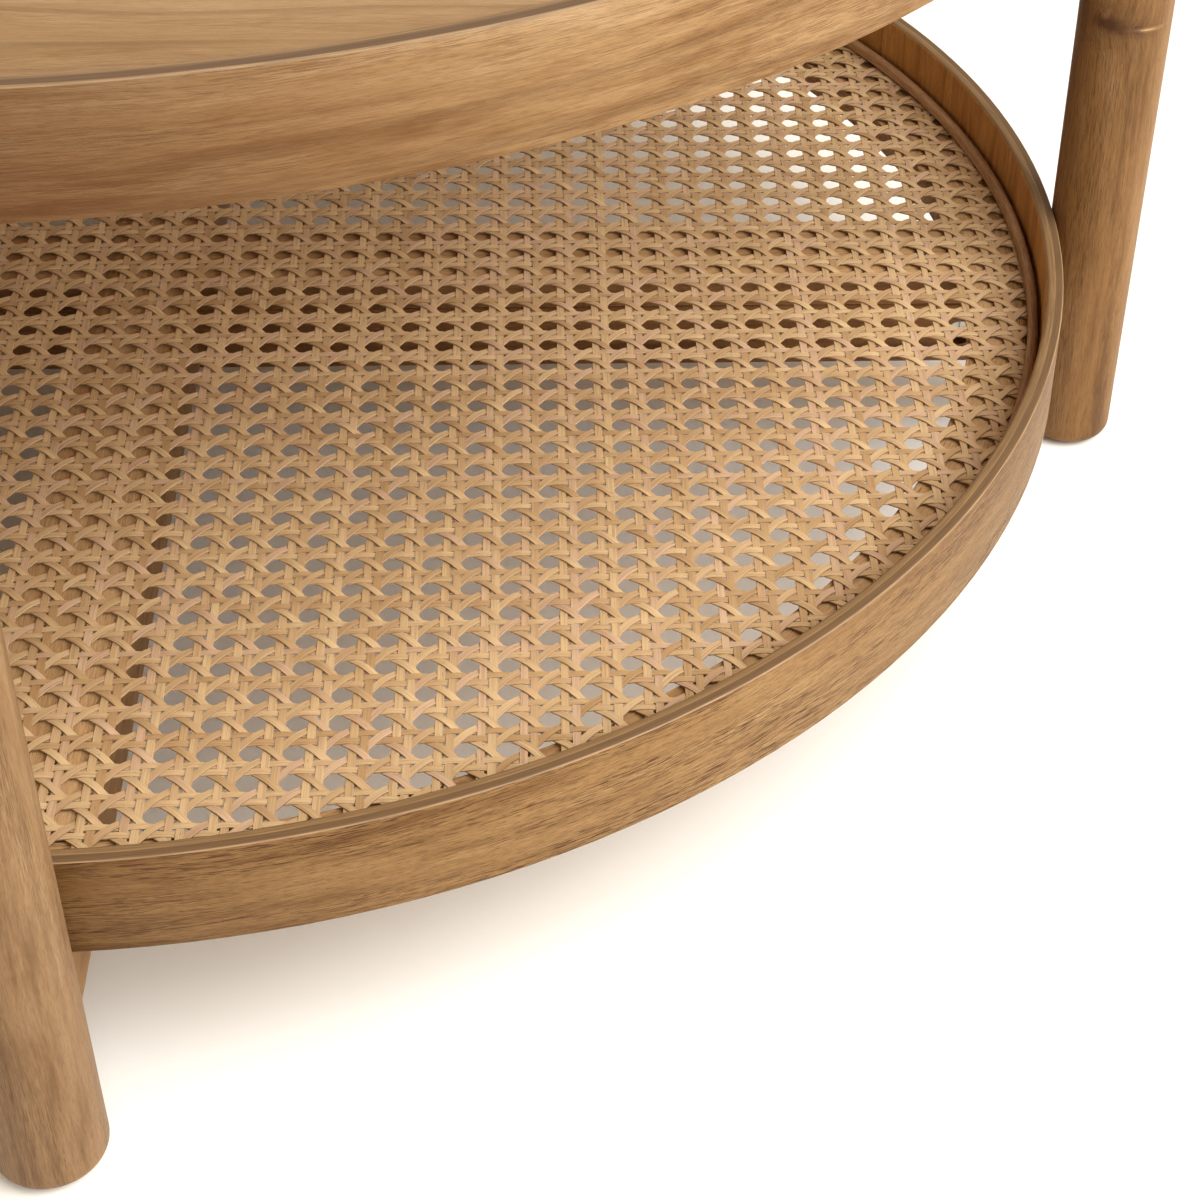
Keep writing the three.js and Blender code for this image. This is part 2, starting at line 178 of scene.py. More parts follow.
class Nodes:
    """A material's node tree, with short ways to add and link nodes."""

    def __init__(self, name):
        self.material = bpy.data.materials.new(name)
        self.material.use_nodes = True
        self.tree = self.material.node_tree
        self.shader = self.tree.nodes["Principled BSDF"]
        self.place = self.add("ShaderNodeTexCoord").outputs["Object"]

    def add(self, kind, inputs=(), **settings):
        node = self.tree.nodes.new(kind)
        for key, value in settings.items():
            setattr(node, key, value)
        for key, value in dict(inputs).items():
            self.set(node.inputs[key], value)
        return node

    def set(self, socket, value):
        if isinstance(value, bpy.types.NodeSocket):
            self.tree.links.new(value, socket)
        else:
            socket.default_value = value

    def math(self, operation, a, b=0.0, clamp=False):
        return self.add("ShaderNodeMath", {0: a, 1: b}, operation=operation, use_clamp=clamp).outputs[0]

    def plus(self, a, b):
        return self.math("ADD", a, b)

    def minus(self, a, b):
        return self.math("SUBTRACT", a, b)

    def times(self, a, b):
        return self.math("MULTIPLY", a, b)

    def vector(self, operation, a, b=(0.0, 0.0, 0.0)):
        return self.add("ShaderNodeVectorMath", {0: a, 1: b}, operation=operation).outputs

    def axes(self, vector):
        parts = self.add("ShaderNodeSeparateXYZ", {0: vector}).outputs
        return parts[0], parts[1], parts[2]

    def combine(self, x, y, z):
        return self.add("ShaderNodeCombineXYZ", {0: x, 1: y, 2: z}).outputs[0]

    def noise(self, vector, detail=2.0, rough=0.5, scale=1.0):
        return self.add("ShaderNodeTexNoise", {"Vector": vector, "Scale": scale, "Detail": detail,
                                               "Roughness": rough}).outputs["Fac"]

    def ramp(self, value, low, high):
        """0 up to low and 1 from high, with a smooth step between them. high may be the lower one."""
        return self.add("ShaderNodeMapRange", {"Value": value, "From Min": low, "From Max": high},
                        interpolation_type="SMOOTHSTEP").outputs["Result"]

    def mix(self, factor, a, b):
        node = self.add("ShaderNodeMix", data_type="RGBA")
        for socket, value in ((node.inputs[0], factor), (node.inputs[6], a), (node.inputs[7], b)):
            self.set(socket, value)
        return node.outputs[2]

    def surface(self, colour, roughness, height, depth, strength=0.5):
        """Links the shader's colour, roughness and bumps, and gives the material."""
        bump = self.add("ShaderNodeBump", {"Height": height, "Distance": depth, "Strength": strength})
        self.set(self.shader.inputs["Base Color"], colour)
        self.set(self.shader.inputs["Roughness"], roughness)
        self.set(self.shader.inputs["Normal"], bump.outputs["Normal"])
        return self.material


def grain_axes(n, grain):
    """Where a point lies along the grain, across it and in depth, in metres. Straight grain runs along x, y
    or z. Round grain runs round a hoop, from its front, and upright grain up a hoop's wall."""
    x, y, z = n.axes(n.place)
    if grain in ("x", "y", "z"):
        return {"x": (x, y, z), "y": (y, x, z), "z": (z, x, y)}[grain]
    radius = n.math("SQRT", n.plus(n.times(x, x), n.times(y, y)))
    around = n.times(n.math("ARCTAN2", x, n.times(y, -1.0)), HOOP_RADIUS)
    return (around, z, radius) if grain == "round" else (z, around, radius)


def scarred(n, across, scars):
    """Bends the grain round each scar. Gives the place across it, and each scar's mask and colour."""
    marks = []
    for x, y, z, radius, flatness, colour in scars:
        solid, worn, halo = radius * 0.7, radius * 1.5, radius * 3.4
        away = n.vector("SUBTRACT", n.place, (x, y, z))[0]
        squeezed = n.vector("MULTIPLY", away, (1.0, 1.0, flatness))[0]
        ragged = n.times(n.noise(n.place, 3.0, 0.6, 260.0), radius * 0.9)
        distance = n.plus(n.vector("LENGTH", squeezed)["Value"], ragged)
        near = n.ramp(distance, halo, solid)
        core = n.ramp(distance, worn, solid)
        across = n.plus(across, n.times(near, radius * 0.25))
        marks.append((n.plus(n.times(core, 0.6), n.times(near, 0.3)), colour))
    return across, marks


def wood(name, grain, seed, colours, pores=0.7, rough=0.5, streaks=0.0, scars=(), figure=1.0, painted_shade=()):
    """Open-grained wood. colours are dark, middle and light. scars are (x, y, z, radius, flatness, colour).
    The stretches of painted shade round a hoop are each (degrees of its middle from +X, degrees on to its
    ends, how dark)."""
    n = Nodes(name)
    along, across, depth = grain_axes(n, grain)
    dark, middle, light = colours
    deepest = scaled(dark, PORE_SHARES)
    sway = n.noise(n.combine(n.times(along, 6.0), n.times(across, 24.0), seed * 3.7), 2.0)
    wavy, marks = scarred(n, n.plus(across, n.times(n.minus(sway, 0.5), 0.010 * figure)), scars)

    def stretched(per_along, per_across, salt):
        """A place for noise with so many waves in a metre along the grain and across it."""
        return n.combine(n.plus(n.times(along, per_along), seed * 7.13 + salt), n.times(wavy, per_across),
                         n.times(depth, per_across))

    broad = n.noise(stretched(3.2, 42.0, 0.0), 3.0, 0.6)
    mottle = n.noise(stretched(28.0, 240.0, 3.1), 3.0, 0.65)
    fibre = n.noise(stretched(70.0, 2400.0, 5.7), 2.0, 0.65)
    cluster = n.ramp(n.noise(stretched(8.0, 85.0, 12.9), 2.0), 0.36, 0.64)
    long_pore = n.ramp(n.noise(stretched(120.0, 3500.0, 9.3), 1.0), 0.54, 0.61)
    short_pore = n.ramp(n.noise(stretched(280.0, 4700.0, 17.9), 1.0), 0.52, 0.64)
    pore = n.math("ADD", n.times(long_pore, n.plus(0.15, cluster)), n.times(short_pore, 0.45), clamp=True)

    tone = n.plus(n.times(broad, 0.62), n.times(mottle, 0.38))
    colour = n.mix(n.ramp(tone, 0.34, 0.50), dark, middle)
    colour = n.mix(n.ramp(tone, 0.48, 0.66), colour, light)
    colour = n.mix(n.times(n.ramp(fibre, 0.36, 0.68), 0.30), colour, dark)
    if streaks:
        vein = n.ramp(n.noise(stretched(3.4, 210.0, 21.3), 3.0, 0.65), 0.52, 0.66)
        colour = n.mix(n.times(vein, streaks), colour, scaled(dark, VEIN_SHARES))
    colour = n.mix(n.times(pore, pores), colour, deepest)
    for mask, scar_colour in marks:
        colour = n.mix(mask, colour, scar_colour)
    # Painted shade: the colour darkens towards each stretch's middle, standing in for shade on the hoop.
    for darkest, fade, amount in painted_shade:
        turn = n.minus(n.math("DIVIDE", along, HOOP_RADIUS), math.radians(darkest - FRONT))
        near = n.ramp(n.math("ABSOLUTE", turn), math.radians(fade), 0.0)
        colour = n.mix(n.times(near, amount), colour, deepest)

    n.shader.inputs["Specular IOR Level"].default_value = 0.25
    relief = n.minus(n.times(fibre, 0.4), pore)
    return n.surface(colour, n.plus(rough - 0.05, n.times(tone, 0.14)), relief, 0.10 * MM, 0.6)


def ply_edge(name, seed, plies):
    """The rim of a bent hoop, cut through its plies."""
    n = Nodes(name)
    around, _, radius = grain_axes(n, "round")
    fine = n.noise(n.combine(n.times(around, 45.0), n.times(radius, 2200.0), seed), 2.0, 0.6)
    wander = n.noise(n.combine(n.times(around, 9.0), seed, 0.0), 3.0)
    patches = n.noise(n.combine(n.times(around, 14.0), seed + 4.0, n.times(radius, 90.0)), 3.0)
    depth = n.math("DIVIDE", n.minus(radius, HOOP_INNER), HOOP_RADIUS - HOOP_INNER)
    depth = n.plus(depth, n.times(n.minus(wander, 0.5), 0.12))
    colour = plies[0][2]
    for (end, soft, _), (_, _, following) in zip(plies, plies[1:]):
        colour = n.mix(n.ramp(depth, end - soft, end + soft), colour, following)
    colour = n.mix(n.times(n.ramp(fine, 0.40, 0.62), 0.40), colour, EDGE_DARK)
    colour = n.mix(n.times(n.ramp(patches, 0.45, 0.75), 0.35), colour, EDGE_BROWN)
    return n.surface(colour, n.plus(0.5, n.times(fine, 0.2)), fine, 0.10 * MM)


def cane(name):
    """Rattan strands: a colour of its own for each strand, with long fibres and a faint gloss."""
    n = Nodes(name)
    tone, tint, edge = (n.add("ShaderNodeAttribute", attribute_name=key).outputs["Fac"]
                        for key in ("tone", "tint", "edge"))
    lengthwise, sidewise, _ = n.axes(n.add("ShaderNodeUVMap", uv_map="strand").outputs[0])

    def fibres(per_length, per_side, salt):
        """A place for noise with so many waves in a metre along the strand and across it."""
        return n.combine(n.times(lengthwise, per_length), n.times(sidewise, per_side),
                         n.plus(n.times(tone, 37.0), salt))

    fine = n.noise(fibres(45.0, 3400.0, 0.0), 2.0, 0.6)
    stripe = n.noise(fibres(12.0, 900.0, 2.0), 2.0, 0.6)
    patch = n.noise(fibres(16.0, 60.0, 5.0), 3.0, 0.6)
    speck = n.ramp(n.noise(fibres(240.0, 1600.0, 8.0), 1.0), 0.72, 0.80)
    colour = n.mix(n.ramp(tone, 0.0, 1.0), CANE_DEEP, CANE_PALE)
    colour = n.mix(n.times(tint, 0.75), colour, CANE_PINK)
    colour = n.mix(n.times(n.ramp(patch, 0.42, 0.72), 0.35), colour, CANE_DEEP)
    colour = n.mix(n.times(n.ramp(fine, 0.42, 0.66), 0.34), colour, CANE_FIBRE)
    colour = n.mix(n.times(n.ramp(stripe, 0.50, 0.66), 0.30), colour, CANE_FIBRE)
    colour = n.mix(n.times(speck, 0.5), colour, CANE_SPECK)
    # Painted shade: the strands' sides and undersides are darkened against their tops.
    colour = n.mix(n.times(edge, 0.50), colour, CANE_PAINTED_SHADE)
    return n.surface(colour, n.plus(0.36, n.times(fine, 0.28)), n.plus(fine, stripe), 0.06 * MM)


def plated_steel(name):
    """Zinc-plated steel with fine turning marks and dull patches."""
    n = Nodes(name)
    marks = n.noise(n.place, 3.0, 0.6, 900.0)
    cloud = n.noise(n.place, 2.0, 0.5, 90.0)
    n.shader.inputs["Metallic"].default_value = 1.0
    colour = n.mix(cloud, STEEL_DULL, STEEL_BRIGHT)
    return n.surface(colour, n.plus(0.26, n.times(cloud, 0.25)), marks, 0.03 * MM)


def nylon(name):
    """Dark moulded nylon with a fine grain and scuffs."""
    n = Nodes(name)
    grain = n.noise(n.place, 2.0, 0.5, 1500.0)
    scuff = n.ramp(n.noise(n.place, 4.0, 0.7, 160.0), 0.55, 0.75)
    colour = n.mix(n.times(scuff, 0.4), NYLON_DARK, NYLON_SCUFFED)
    return n.surface(colour, n.plus(0.5, n.times(scuff, 0.25)), grain, 0.05 * MM)


def painted_floor(name):
    """A plain pale studio floor with the faintest mottling."""
    n = Nodes(name)
    mottle = n.noise(n.place, 3.0, 0.5, 9.0)
    n.set(n.shader.inputs["Base Color"], n.mix(mottle, FLOOR_DIM, FLOOR_BRIGHT))
    n.shader.inputs["Roughness"].default_value = 0.9
    n.shader.inputs["Specular IOR Level"].default_value = 0.1
    return n.material


# ---------------------------------------------------------------- mesh building

def link(name, data):
    """Puts an object with this data in the scene."""
    thing = bpy.data.objects.new(name, data)
    bpy.context.scene.collection.objects.link(thing)
    return thing


def make_object(name, vertices, faces, smooth=True):
    """Puts a mesh object in the scene."""
    mesh = bpy.data.meshes.new(name)
    mesh.from_pydata([tuple(v) for v in vertices], [], faces)
    mesh.update()
    mesh.polygons.foreach_set("use_smooth", [smooth] * len(mesh.polygons))
    return link(name, mesh)


def sharpen(piece, degrees=40):
    """Edges that turn more than this stay crisp under smooth shading."""
    work = bmesh.new()
    work.from_mesh(piece.data)
    bmesh.ops.recalc_face_normals(work, faces=work.faces)
    limit = math.radians(degrees)
    for edge in work.edges:
        edge.smooth = not (len(edge.link_faces) == 2 and edge.calc_face_angle(0.0) > limit)
    work.to_mesh(piece.data)
    work.free()


def arc(centre, radius, start, end, steps):
    """Points round a centre, from start to end in degrees."""
    angles = [math.radians(start + (end - start) * i / steps) for i in range(steps + 1)]
    return [(centre[0] + radius * math.cos(a), centre[1] + radius * math.sin(a)) for a in angles]


def turned(name, profile, segments, centre=(0.0, 0.0), paint=None):
    """Spins (radius, height) points round an upright axis. A profile that starts on the axis is closed there,
    and any other is a ring. paint gives each profile edge its material's index."""
    solid = profile[0][0] == 0
    rings = profile[1:-1] if solid else profile
    count = len(rings)
    angles = np.arange(segments) * 2 * math.pi / segments
    vertices = [(centre[0] + r * math.cos(a), centre[1] + r * math.sin(a), z)
                for a in angles for r, z in rings]
    faces, marks = [], []
    for s in range(segments):
        here, there = s * count, (s + 1) % segments * count
        for i in range(count - 1 if solid else count):
            j = (i + 1) % count
            faces.append((here + i, there + i, there + j, here + j))
            marks.append(paint[i] if paint else 0)
    if solid:
        low, high = len(vertices), len(vertices) + 1
        vertices += [(*centre, profile[0][1]), (*centre, profile[-1][1])]
        for s in range(segments):
            here, there = s * count, (s + 1) % segments * count
            faces += [(low, there, here), (high, here + count - 1, there + count - 1)]
            marks += [0, 0]
    piece = make_object(name, vertices, faces)
    piece.data.polygons.foreach_set("material_index", marks)
    sharpen(piece)
    return piece


def prism(name, outline, bottom, top, ease=0.0):
    """An upright prism over an outline of (x, y) points, its edges softened by ease."""
    count = len(outline)
    vertices = [(x, y, z) for z in (bottom, top) for x, y in outline]
    sides = [(i, (i + 1) % count, (i + 1) % count + count, i + count) for i in range(count)]
    ends = [tuple(reversed(range(count))), tuple(range(count, 2 * count))]
    piece = make_object(name, vertices, ends + sides)
    if ease:
        work = bmesh.new()
        work.from_mesh(piece.data)
        edges = [e for e in work.edges if e.calc_face_angle(0.0) > math.radians(20)]
        bmesh.ops.bevel(work, geom=edges, offset=ease, segments=3, profile=0.5, affect="EDGES")
        work.to_mesh(piece.data)
        work.free()
    return piece


def rectangle(low, high):
    """A box's outline from above."""
    return [(low[0], low[1]), (high[0], low[1]), (high[0], high[1]), (low[0], high[1])]


def block(low, high):
    """A plain box to cut with."""
    return prism("cutter", rectangle(low, high), low[2], high[2])


def lay(piece, axis, centre):
    """Turns an upright piece to lie along the axis and moves it sideways to the centre."""
    turn = {"x": Matrix.Rotation(math.pi / 2, 4, "Y"), "y": Matrix.Rotation(-math.pi / 2, 4, "X")}.get(axis)
    if turn:
        piece.data.transform(turn)
    sideways = Vector(centre)
    sideways["xyz".index(axis)] = 0
    piece.data.transform(Matrix.Translation(sideways))


def drill(centre, radius, start, end, axis="z"):
    """A round cutter about a point, from start to end along the axis."""
    piece = turned("cutter", [(0, start), (radius, start), (radius, end), (0, end)], SMALL_SEGMENTS)
    lay(piece, axis, centre)
    return piece


def cut(piece, cutters):
    """Takes the cutters out of the piece and removes them."""
    for cutter in cutters:
        modifier = piece.modifiers.new("cut", "BOOLEAN")
        modifier.operation, modifier.solver, modifier.object = "DIFFERENCE", "EXACT", cutter
    bpy.context.view_layer.update()
    evaluated = piece.evaluated_get(bpy.context.evaluated_depsgraph_get())
    mesh = bpy.data.meshes.new_from_object(evaluated)
    piece.modifiers.clear()
    piece.data = mesh
    for cutter in cutters:
        bpy.data.objects.remove(cutter)


def dress(piece, slot, *materials, stands_for=None):
    """Gives a piece its materials and its body, and hides the node that it stands for, if it isn't a node.
    slot is not used.
    """
    # Only a node has materials yet. Clearing them gives every face the first one.
    if piece.data.materials:
        piece.data.materials.clear()
    for material in materials:
        piece.data.materials.append(material)
    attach(piece, "root")
    if stands_for:
        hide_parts(stands_for)


# ---------------------------------------------------------------- the woven cane

def strip(points, side, ups, widths):
    """Vertices, faces and strand coordinates of one flat strand along its points, closed at both ends."""
    count, around = len(points), len(STRAND_SECTION)
    half = (widths / 2)[:, None, None] * STRAND_SECTION[None, :, :1]
    rise = STRAND_THICKNESS / 2 * STRAND_SECTION[None, :, 1:]
    corners = points[:, None] + side * half + ups[:, None] * rise
    start = np.arange(count - 1)[:, None] * around
    corner = np.arange(around)[None, :]
    following = (corner + 1) % around
    far = start + around
    quads = np.stack([start + corner, start + following, far + following, far + corner], axis=2)
    end = (count - 1) * around
    caps = np.array([(3, 2, 1, 0), (5, 4, 3, 0), (0, 1, 2, 3), (0, 3, 4, 5)]) + [[0], [0], [end], [end]]
    length = np.concatenate([[0], np.cumsum(np.linalg.norm(np.diff(points, axis=0), axis=1))])
    run = np.stack([np.repeat(length, around), half.reshape(-1)], 1)
    return corners.reshape(-1, 3), np.concatenate([quads.reshape(-1, 4), caps]), run


def half_chord(offset, radius):
    """Half the length of the line at that offset across a disc, or 0 outside it."""
    return math.sqrt(max(0.0, radius * radius - offset * offset))


def wobble(along, amount):
    """A strand's slow drift: one wave in 0.4 to 0.9 m, with a shorter and lower one on it."""
    phase = rng.uniform(0, 2 * math.pi)
    slow = rng.uniform(0.8, 1.7) / 0.11
    return amount * (np.sin(along * slow + phase) + 0.5 * np.sin(along * slow * 2.7 + phase * 1.7))


def weave(name, direction, offsets, width, wave, step):
    """Strands that run one way across the shelf. wave gives their height over the panel's middle."""
    direction = np.array([*direction, 0.0]) / math.hypot(*direction)
    side = np.array([-direction[1], direction[0], 0.0])
    middle = (CANE_LOW + CANE_HIGH) / 2
    vertices, faces, runs, tones, tints = [], [], [], [], []
    first = 0
    for offset in offsets:
        half = half_chord(offset, CANE_RADIUS - rng.uniform(0.0, END_SPREAD))
        if half < CELL:
            continue
        along = np.linspace(-half, half, int(2 * half / step) + 2)
        shift = offset + rng.gauss(0, PLACE_SPREAD) + wobble(along, PLACE_DRIFT)
        points = along[:, None] * direction + shift[:, None] * side
        points[:, 2] = middle + wave(points[:, 0], points[:, 1]) + rng.gauss(0, HEIGHT_SPREAD)
        points[:, :2] += WEB_SHIFT
        tangents = np.gradient(points, axis=0)
        tangents /= np.linalg.norm(tangents, axis=1)[:, None]
        widths = width * (1 + rng.gauss(0, WIDTH_SPREAD) + wobble(along, WIDTH_DRIFT))
        v, f, uv = strip(points, side, np.cross(tangents, side), widths)
        vertices.append(v)
        faces.append(f + first)
        runs.append(uv + [rng.uniform(0, 5), 0])
        tone = min(1.0, max(0.0, rng.gauss(TONE_MIDDLE, TONE_SPREAD)))
        tint = 1.0 if rng.random() < PINK_SHARE else rng.uniform(0, FAINT_PINK)
        tones.append(np.full(len(v), tone))
        tints.append(np.full(len(v), tint))
        first += len(v)
    return strand_object(name, *(np.concatenate(part) for part in (vertices, faces, runs, tones, tints)))


def strand_object(name, vertices, faces, runs, tones, tints):
    """Strands as one object, with crisp edges along them and what their material reads at each corner."""
    mesh = bpy.data.meshes.new(name)
    mesh.vertices.add(len(vertices))
    mesh.vertices.foreach_set("co", vertices.ravel())
    mesh.loops.add(faces.size)
    mesh.loops.foreach_set("vertex_index", faces.ravel())
    mesh.polygons.add(len(faces))
    mesh.polygons.foreach_set("loop_start", np.arange(len(faces)) * 4)
    mesh.polygons.foreach_set("use_smooth", np.ones(len(faces), bool))
    mesh.update(calc_edges=True)
    ends = np.empty(len(mesh.edges) * 2, np.int32)
    mesh.edges.foreach_get("vertices", ends)
    low, high = np.sort(ends.reshape(-1, 2), axis=1).T
    lengthwise = high - low == len(STRAND_SECTION)
    mesh.attributes.new("sharp_edge", "BOOLEAN", "EDGE").data.foreach_set("value", lengthwise)
    layer = mesh.uv_layers.new(name="strand")
    layer.data.foreach_set("uv", runs[faces.ravel()].ravel())
    # How much painted shade each corner of the strands gets.
    edges = np.tile(STRAND_SHADED_CORNERS, len(vertices) // len(STRAND_SECTION))
    for key, values in (("tone", tones), ("tint", tints), ("edge", edges)):
        mesh.attributes.new(key, "FLOAT", "POINT").data.foreach_set("value", values.astype(np.float32))
    return link(name, mesh)


def woven_cane():
    """Six-way webbing. Pairs of strands run both ways in a plain weave. One diagonal goes over the warp pairs
    and under the weft pairs, the other the opposite way, beside the holes."""
    turn = 2 * math.pi / CELL
    cells = int(CANE_RADIUS / CELL) + 1
    pairs = [k * CELL for k in range(-cells, cells + 1)]
    step = CELL / STEPS_PER_CELL
    root2 = math.sqrt(2)
    diagonals = [k * CELL / root2 + CELL / root2 / 2 for k in range(-2 * cells, 2 * cells + 1)]
    made = []
    for sign, tag in ((-1, "a"), (1, "b")):
        made.append(weave(f"cane_warp_{tag}", (0, 1), [-(p + sign * WARP_OFFSET) for p in pairs], WARP_WIDTH,
                          lambda x, y, sign=sign: -sign * PAIR_WAVE * np.sin(turn * y), step))
        made.append(weave(f"cane_weft_{tag}", (1, 0), [p + sign * WEFT_OFFSET for p in pairs], WEFT_WIDTH,
                          lambda x, y, sign=sign: sign * PAIR_WAVE * np.sin(turn * x), step))
    for tag, slope in (("falling", -1), ("rising", 1)):
        made.append(weave(f"cane_diagonal_{tag}", (1, slope), diagonals, DIAGONAL_WIDTH,
                          lambda x, y, slope=slope: -slope * DIAGONAL_WAVE * np.cos(turn * x),
                          CELL * root2 / STEPS_PER_DIAGONAL))
    rattan = cane("rattan")
    for piece in made:
        dress(piece, "cane", rattan, stands_for="cane_panel")


# ---------------------------------------------------------------- hoops, bead, rings and board

def hoop(node, seed, colours, plies, pores, streaks, painted_shade):
    """A bent hoop: long grain outside, upright grain inside, and its plies on the rounded rim."""
    box = span(node)
    foot = HOOP_FOOT_ROUND
    profile = [
        *arc((HOOP_INNER + foot, box.low.z + foot), foot, 180, 270, 2),
        *arc((HOOP_RADIUS - foot, box.low.z + foot), foot, 270, 360, 2),
        *arc((HOOP_RADIUS - HOOP_OUTER_ROUND, box.high.z - HOOP_OUTER_ROUND), HOOP_OUTER_ROUND, 0, 90, 4),
        *arc((HOOP_INNER + HOOP_INNER_ROUND, box.high.z - HOOP_INNER_ROUND), HOOP_INNER_ROUND, 90, 180, 5),
    ]
    # A material for each of the profile's edges, from the inner foot round to the inner wall
    outside, inside, rim = 0, 1, 2
    paint = [inside] * 2 + [rim] + [outside] * 4 + [rim] * 7 + [inside] * 3
    outer_wood = wood(node + "_outer", "round", seed, colours, pores=pores, streaks=streaks, painted_shade=painted_shade)
    # The inner wall's colour is lightened as painted light.
    inner_wood_and_light = wood(node + "_inner", "upright", seed + 1, INNER_WOOD_AND_LIGHT, pores=0.55, rough=0.55, streaks=0.35)
    dress(turned(node + "_bent", profile, HOOP_SEGMENTS, paint=paint), "hoop",
          outer_wood, inner_wood_and_light, ply_edge(node + "_rim", seed + 2, plies), stands_for=node)


def bead():
    """The strip over the cane's edge, half round on top."""
    inner, half = BEAD_OUTER - BEAD_WIDTH, BEAD_WIDTH / 2
    profile = [(inner, CANE_HIGH), (BEAD_OUTER, CANE_HIGH),
               *arc((BEAD_OUTER - half, BEAD_TOP - half), half, 0, 180, 10)]
    material = wood("bead_wood", "round", 41, BEAD_WOOD, pores=0.5)
    dress(turned("bead_strip", profile, HOOP_SEGMENTS), "bead", material, stands_for="cane_bead")


def ring(node, inner, seed):
    """A flat ring inside a hoop, with eased edges."""
    box = span(node)
    ease = RING_ROUND
    profile = [*arc((inner + ease, box.low.z + ease), ease, 180, 270, 2),
               *arc((RING_OUTER - ease, box.low.z + ease), ease, 270, 360, 2),
               *arc((RING_OUTER - ease, box.high.z - ease), ease, 0, 90, 2),
               *arc((inner + ease, box.high.z - ease), ease, 90, 180, 2)]
    dress(turned(node + "_wood", profile, HOOP_SEGMENTS), "frame",
          wood(node + "_grain", "round", seed, FRAME_WOOD, rough=0.6), stands_for=node)


def board():
    """The veneered top."""
    box = span("top_board")
    ease = BOARD_ROUND
    profile = [(0, box.low.z), *arc((RING_OUTER - ease, box.low.z + ease), ease, 270, 360, 2),
               *arc((RING_OUTER - ease, box.high.z - ease), ease, 0, 90, 3), (0, box.high.z)]
    veneer = wood("board_veneer", "x", 5, BOARD_WOOD, pores=0.25, rough=0.42, streaks=0.30, figure=2.0)
    dress(turned("top_board_veneered", profile, HOOP_SEGMENTS), "board", veneer, stands_for="top_board")


# ---------------------------------------------------------------- legs and feet

def leg(side, seed):
    """A round leg with a seat for its glide. The right leg has a dark scar and a light scratch."""
    node = f"leg_{side}"
    box, pad = span(node), span(f"glide_{side}")
    radius, foot, head = box.half.x, LEG_FOOT_ROUND, LEG_HEAD_ROUND
    seat, roof = pad.half.x + GAP, pad.high.z + GAP
    profile = [(0, roof), (seat, roof), (seat, box.low.z),
               *arc((radius - foot, box.low.z + foot), foot, 270, 360, 8),
               *arc((radius - head, box.high.z - head), head, 0, 90, 6), (0, box.high.z)]
    marks, colours = (LEG_MARKS, RIGHT_LEG_WOOD) if side == "right" else ((), LEG_WOOD)
    x, y, top = box.middle.x, box.middle.y, box.high.z
    scars = [(x + right * MM, y + back * MM, top - down * MM, size * MM, flatness, colour)
             for right, back, down, size, flatness, colour in marks]
    material = wood(node + "_wood", "z", seed, colours, pores=0.55, streaks=0.18, scars=scars)
    dress(turned(node + "_turned", profile, LEG_SEGMENTS, box.middle.xy), "leg", material, stands_for=node)


def glide(side):
    """The pad under a leg."""
    node = f"glide_{side}"
    box, ease = span(node), GLIDE_ROUND
    profile = [(0, box.low.z), *arc((box.half.x - ease, box.low.z + ease), ease, 270, 360, 4),
               *arc((box.half.x - ease, box.high.z - ease), ease, 0, 90, 3), (0, box.high.z)]
    dress(turned(node + "_pad", profile, SMALL_SEGMENTS, box.middle.xy), "glide", NYLON, stands_for=node)


# ---------------------------------------------------------------- cross pieces

def bar_outline(box, along, radius):
    """A bar's outline from above. With a radius its ends follow a ring's inner edge."""
    if radius is None:
        return rectangle(box.low, box.high)
    flanks = (box.low.y, box.high.y) if along == "x" else (box.low.x, box.high.x)
    across = np.linspace(*flanks, 9)
    reach = np.sqrt((radius - GAP) ** 2 - across ** 2)
    outline = [(r, a) for r, a in zip(reach, across)] + [(-r, a) for r, a in zip(reach[::-1], across[::-1])]
    return outline if along == "x" else [(a, r) for r, a in reversed(outline)]


def notch(node, box, along):
    """The cutter that halves a bar where it crosses its partner: an X bar from above, a Y bar from below."""
    partner = span(node[:-1] + ("y" if along == "x" else "x"))
    margin = Vector((GAP, GAP, 0))
    low, high = partner.low - margin, partner.high + margin
    if along == "x":
        across, low.z, high.z = 1, box.middle.z - GAP / 2, box.high.z + PAST
    else:
        across, low.z, high.z = 0, box.low.z - PAST, box.middle.z + GAP / 2
    low[across], high[across] = box.low[across] - PAST, box.high[across] + PAST
    return block(low, high)


def bores(box):
    """Cutters for the screws whose heads are in a bar's box and for the barrel nuts inside it."""
    def inside(place):
        return box.low.x < place.x < box.high.x and box.low.y < place.y < box.high.y

    cutters = []
    for screw in map(span, SCREWS):
        if inside(screw.middle) and box.low.z - MM < screw.low.z < box.high.z:
            top = screw.low.z + SCREW_SINK
            cutters.append(drill(screw.middle, screw.half.x + GAP, box.low.z - PAST, top))
    for node in NUTS:
        nut, axis = span(node), nut_axis(node)
        if inside(nut.middle) and box.low.z - MM < nut.low.z and nut.high.z < box.high.z + MM:
            i = "xyz".index(axis)
            cutters.append(drill(nut.middle, NUT_RADIUS + GAP, box.low[i] - PAST, nut.high[i] + GAP, axis))
    return cutters


